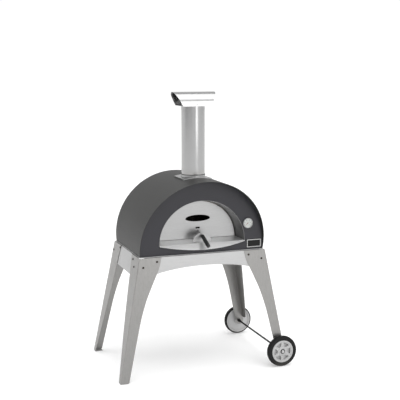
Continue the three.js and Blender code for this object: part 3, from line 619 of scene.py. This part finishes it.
# a row of smaller screws round the arch of the back panel
backScrew = {"radius": 0.0045, "height": 0.0018, "count": 9, "fromEdge": 0.016, "fromBack": 0.6}
shellLow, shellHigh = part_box("outer_shell")
shellRadius = (shellHigh.x - shellLow.x) / 2
reach = shellRadius - backScrew["fromEdge"]
archCentreZ = shellHigh.z - shellRadius
for i in range(backScrew["count"]):
    angle = math.pi * i / (backScrew["count"] - 1)
    start = (middleX + reach * math.cos(angle), backScrew["fromBack"], archCentreZ + reach * math.sin(angle))
    seatScrew(f"screw_back_{i}", "back_panel", start, (0, -1, 0), backScrew)
print("screws seated")


def frameMesh(width, height, line, depth):
    # a thin rectangular line round a plate, in the plane y = 0, facing -y
    work = bmesh.new()
    corners = ((-1, -1), (1, -1), (1, 1), (-1, 1))
    outer = [(sx * width / 2, sz * height / 2) for sx, sz in corners]
    inner = [(sx * (width / 2 - line), sz * (height / 2 - line)) for sx, sz in corners]
    rings = [[work.verts.new((x, y, z)) for x, z in loop] for y, loop in
             ((0.0, outer), (-depth, outer), (-depth, inner), (0.0, inner))]
    for first, second in zip(rings, rings[1:] + rings[:1]):
        bridge(work, first, second)
    return work


badge = {"margins": 0.006, "line": 0.005, "depth": 0.0004, "lift": 0.0001}
plateLow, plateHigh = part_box("badge_plate")
plateMiddle = (plateLow + plateHigh) / 2
width = plateHigh.x - plateLow.x - badge["margins"]
height = plateHigh.z - plateLow.z - badge["margins"]
line = placeMesh("badge_line", frameMesh(width, height, badge["line"], badge["depth"]))
line.data.transform(Matrix.Translation((plateMiddle.x, plateLow.y - badge["lift"], plateMiddle.z)))
finishPiece(line, "oven", badgeLine)


def beadMesh(radius, thickness, count=96, sides=12):
    # a round bead laid in a ring on z = 0
    work = bmesh.new()
    loops = []
    for i in range(count):
        turn = 2 * math.pi * i / count
        loop = []
        for j in range(sides):
            roll = 2 * math.pi * j / sides
            reach = radius + thickness * math.cos(roll)
            rise = thickness * math.sin(roll)
            loop.append(work.verts.new((reach * math.cos(turn), reach * math.sin(turn), rise)))
        loops.append(loop)
    for i in range(count):
        bridge(work, loops[i], loops[(i + 1) % count])
    return work


# a dark bead round the foot of the pipe, where it meets the collar: painted shade standing for the contact
# shadow there
footShadeBead = {"outside": 0.0014, "thickness": 0.0016, "lift": 0.0014}
pipeOuter = (pipeHigh.x - pipeLow.x) / 2
bead = placeMesh("flue_foot_shade_bead", beadMesh(pipeOuter + footShadeBead["outside"], footShadeBead["thickness"]))
beadHeight = pipeFoot + footShadeBead["lift"]
bead.data.transform(Matrix.Translation((middleX, (pipeLow.y + pipeHigh.y) / 2, beadHeight)))
bead.data.shade_smooth()
finishPiece(bead, "oven", finishes["black_steel"])


# the thermometer's printed scale
dialLow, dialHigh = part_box("gauge_dial")
scale = {
    "start": -135.0, "sweep": 270.0, "steps": 50, "stepsPerFigure": 10, "top": 500, "lift": 0.00005,
    "outer": 0.93, "longInner": 0.78, "shortInner": 0.86, "longHalf": 0.00042, "shortHalf": 0.0002,
    "tickDepth": 0.0001, "figureReach": 0.60, "figureSize": 0.0052, "figureDepth": 0.00005,
    "figureLift": 0.00006,
}
dialRadius = (dialHigh.x - dialLow.x) / 2
dialSpan = (dialLow + dialHigh) / 2
dialCentre = Vector((dialSpan.x, dialLow.y - scale["lift"], dialSpan.z))


def dialSpot(fraction, reach):
    angle = math.radians(scale["start"] + scale["sweep"] * fraction)
    return Vector((reach * math.sin(angle), 0.0, reach * math.cos(angle))), angle


def makeTicks():
    work = bmesh.new()
    for i in range(scale["steps"] + 1):
        length = "short" if i % scale["stepsPerFigure"] else "long"
        direction, angle = dialSpot(i / scale["steps"], 1.0)
        across = Vector((math.cos(angle), 0.0, -math.sin(angle))) * scale[length + "Half"]
        inside = direction * (dialRadius * scale[length + "Inner"])
        outside = direction * (dialRadius * scale["outer"])
        corners = [inside - across, inside + across, outside + across, outside - across]
        low = [work.verts.new(corner) for corner in corners]
        high = [work.verts.new(corner - Vector((0, scale["tickDepth"], 0))) for corner in corners]
        bridge(work, low, high)
        work.faces.new(high)
        work.faces.new(list(reversed(low)))
    piece = placeMesh("gauge_ticks", work)
    piece.data.transform(Matrix.Translation(dialCentre))
    finishPiece(piece, "oven", printedGrey)


def makeFigure(name, text, place, size):
    curve = bpy.data.curves.new(name, "FONT")
    curve.body = text
    curve.size = size
    curve.align_x, curve.align_y = "CENTER", "CENTER"
    curve.extrude = scale["figureDepth"]
    written = bpy.data.objects.new(name + "_outline", curve)
    bpy.context.scene.collection.objects.link(written)
    bpy.context.view_layer.update()
    mesh = bpy.data.meshes.new_from_object(written.evaluated_get(bpy.context.evaluated_depsgraph_get()))
    bpy.data.objects.remove(written)
    bpy.data.curves.remove(curve)
    piece = bpy.data.objects.new(name, mesh)
    bpy.context.scene.collection.objects.link(piece)
    mesh.transform(Matrix.Translation(place) @ Matrix.Rotation(math.pi / 2, 4, "X"))
    finishPiece(piece, "oven", printedGrey)


makeTicks()
lastFigure = scale["steps"] // scale["stepsPerFigure"]
for i in range(lastFigure + 1):
    spot, _ = dialSpot(i / lastFigure, dialRadius * scale["figureReach"])
    place = spot + dialCentre - Vector((0, scale["figureLift"], 0))
    makeFigure(f"gauge_figure_{i}", str(scale["top"] * i // lastFigure), place, scale["figureSize"])
print("dial printed")


# floor, light and camera

studio = {
    "floorSize": 60.0, "floorGrey": 0.86, "floorGlow": 0.25,
    "worldLevel": 0.92, "zenithLevel": 0.55, "dimFrom": 0.35, "dimTo": 0.95, "backdrop": 1.02,
    "cards": (dict(azimuth=-66.0, soft=44.0, full=26.0, level=0.36),
              dict(azimuth=30.0, soft=15.0, full=8.0, level=1.4)),
    "overhead": dict(location=(0.2, -1.2, 6.0), target=(0, 0, 0.6), spread=70, strength=1.9),
    "frontBox": dict(location=(1.8, -6.0, 2.6), target=(0, 0, 0.9), size=(2.5, 3.5), power=60),
    "cameraAzimuth": 20.07, "cameraElevation": 8.94, "cameraDistance": 5.657,
    "lens": 78.0, "lookAt": (middleX + 0.084, 0.0, 1.0546),
}


def makeFloor():
    mesh = bpy.data.meshes.new("studio_floor")
    work = bmesh.new()
    bmesh.ops.create_grid(work, x_segments=2, y_segments=2, size=studio["floorSize"] / 2)
    work.to_mesh(mesh)
    work.free()
    floor = bpy.data.objects.new("studio_floor", mesh)
    bpy.context.scene.collection.objects.link(floor)
    material, tree, shader = startMaterial("studio floor paper", roughness=0.9)
    paper = studio["floorGrey"]
    pale = placeGroup(tree, powderCoat, Base=grey(paper), Cloud=grey(paper * 0.99),
                      Grain_Size=300.0, Smooth=0.85, Rough=0.95)
    plug(tree, pale["Colour"], shader.inputs["Base Color"])
    plug(tree, pale["Colour"], shader.inputs["Emission Color"])
    shader.inputs["Emission Strength"].default_value = studio["floorGlow"]
    floor.data.materials.append(material)


def card(tree, direction, azimuth, soft, full, level):
    # a studio card at one compass direction: how much it changes the light from there
    angle = math.radians(azimuth)
    facing = addNode(tree, "ShaderNodeVectorMath", {"operation": "DOT_PRODUCT"})
    plug(tree, direction, facing.inputs[0])
    facing.inputs[1].default_value = (math.sin(angle), -math.cos(angle), 0.0)
    softEdge, fullEdge = math.cos(math.radians(soft)), math.cos(math.radians(full))
    return remap(tree, facing.outputs["Value"], softEdge, fullEdge, 1.0, level)


def makeWorld():
    world = bpy.data.worlds.new("studio")
    bpy.context.scene.world = world
    world.use_nodes = True
    tree = world.node_tree
    background = tree.nodes["Background"]
    direction = addNode(tree, "ShaderNodeTexCoord").outputs["Generated"]
    height = addNode(tree, "ShaderNodeSeparateXYZ", Vector=direction).outputs["Z"]
    flat = addNode(tree, "ShaderNodeVectorMath", {"operation": "MULTIPLY"})
    plug(tree, direction, flat.inputs[0])
    flat.inputs[1].default_value = (1.0, 1.0, 0.0)
    level = addNode(tree, "ShaderNodeVectorMath", {"operation": "NORMALIZE"})
    plug(tree, flat.outputs[0], level.inputs[0])
    around = level.outputs[0]
    total = remap(tree, height, studio["dimFrom"], studio["dimTo"],
                  studio["worldLevel"], studio["zenithLevel"])
    for each in studio["cards"]:
        total = mathNode(tree, "MULTIPLY", total, card(tree, around, **each))
    seen = addNode(tree, "ShaderNodeLightPath").outputs["Is Camera Ray"]
    shownLevel = addNode(tree, "ShaderNodeMix", {"data_type": "FLOAT"})
    plug(tree, seen, shownLevel.inputs[0])
    plug(tree, total, shownLevel.inputs[2])
    shownLevel.inputs[3].default_value = studio["backdrop"]
    plug(tree, shownLevel.outputs[0], background.inputs["Strength"])
    background.inputs["Color"].default_value = (1, 1, 1, 1)


def makeSoftbox(name, location, target, size, power):
    light = bpy.data.lights.new(name, "AREA")
    light.shape = "RECTANGLE"
    light.size, light.size_y = size
    light.energy = power
    aimLamp(name, light, Vector(location), Vector(target))


def makeOverhead(name, location, target, spread, strength):
    # a huge ceiling panel far away: even light over the whole floor
    light = bpy.data.lights.new(name, "SUN")
    light.angle = math.radians(spread)
    light.energy = strength
    aimLamp(name, light, Vector(location), Vector(target))


def aimLamp(name, light, location, target):
    lamp = bpy.data.objects.new(name, light)
    bpy.context.scene.collection.objects.link(lamp)
    lamp.location = location
    lamp.rotation_mode = "QUATERNION"
    lamp.rotation_quaternion = (target - location).to_track_quat("-Z", "Y")


def makeCamera():
    azimuth, elevation = math.radians(studio["cameraAzimuth"]), math.radians(studio["cameraElevation"])
    level = math.cos(elevation)
    back = Vector((-math.sin(azimuth) * level, -math.cos(azimuth) * level, math.sin(elevation)))
    data = bpy.data.cameras.new("camera")
    data.lens = studio["lens"]
    data.sensor_width = 36.0
    data.clip_end = 200.0
    camera = bpy.data.objects.new("camera", data)
    bpy.context.scene.collection.objects.link(camera)
    camera.location = Vector(studio["lookAt"]) + back * studio["cameraDistance"]
    camera.rotation_mode = "QUATERNION"
    camera.rotation_quaternion = (-back).to_track_quat("-Z", "Y")
    bpy.context.scene.camera = camera


makeFloor()
makeWorld()
makeOverhead("ceiling_panel", **studio["overhead"])
makeSoftbox("front_box", **studio["frontBox"])
makeCamera()
bpy.context.scene.view_settings.view_transform = "Standard"
print("studio made")
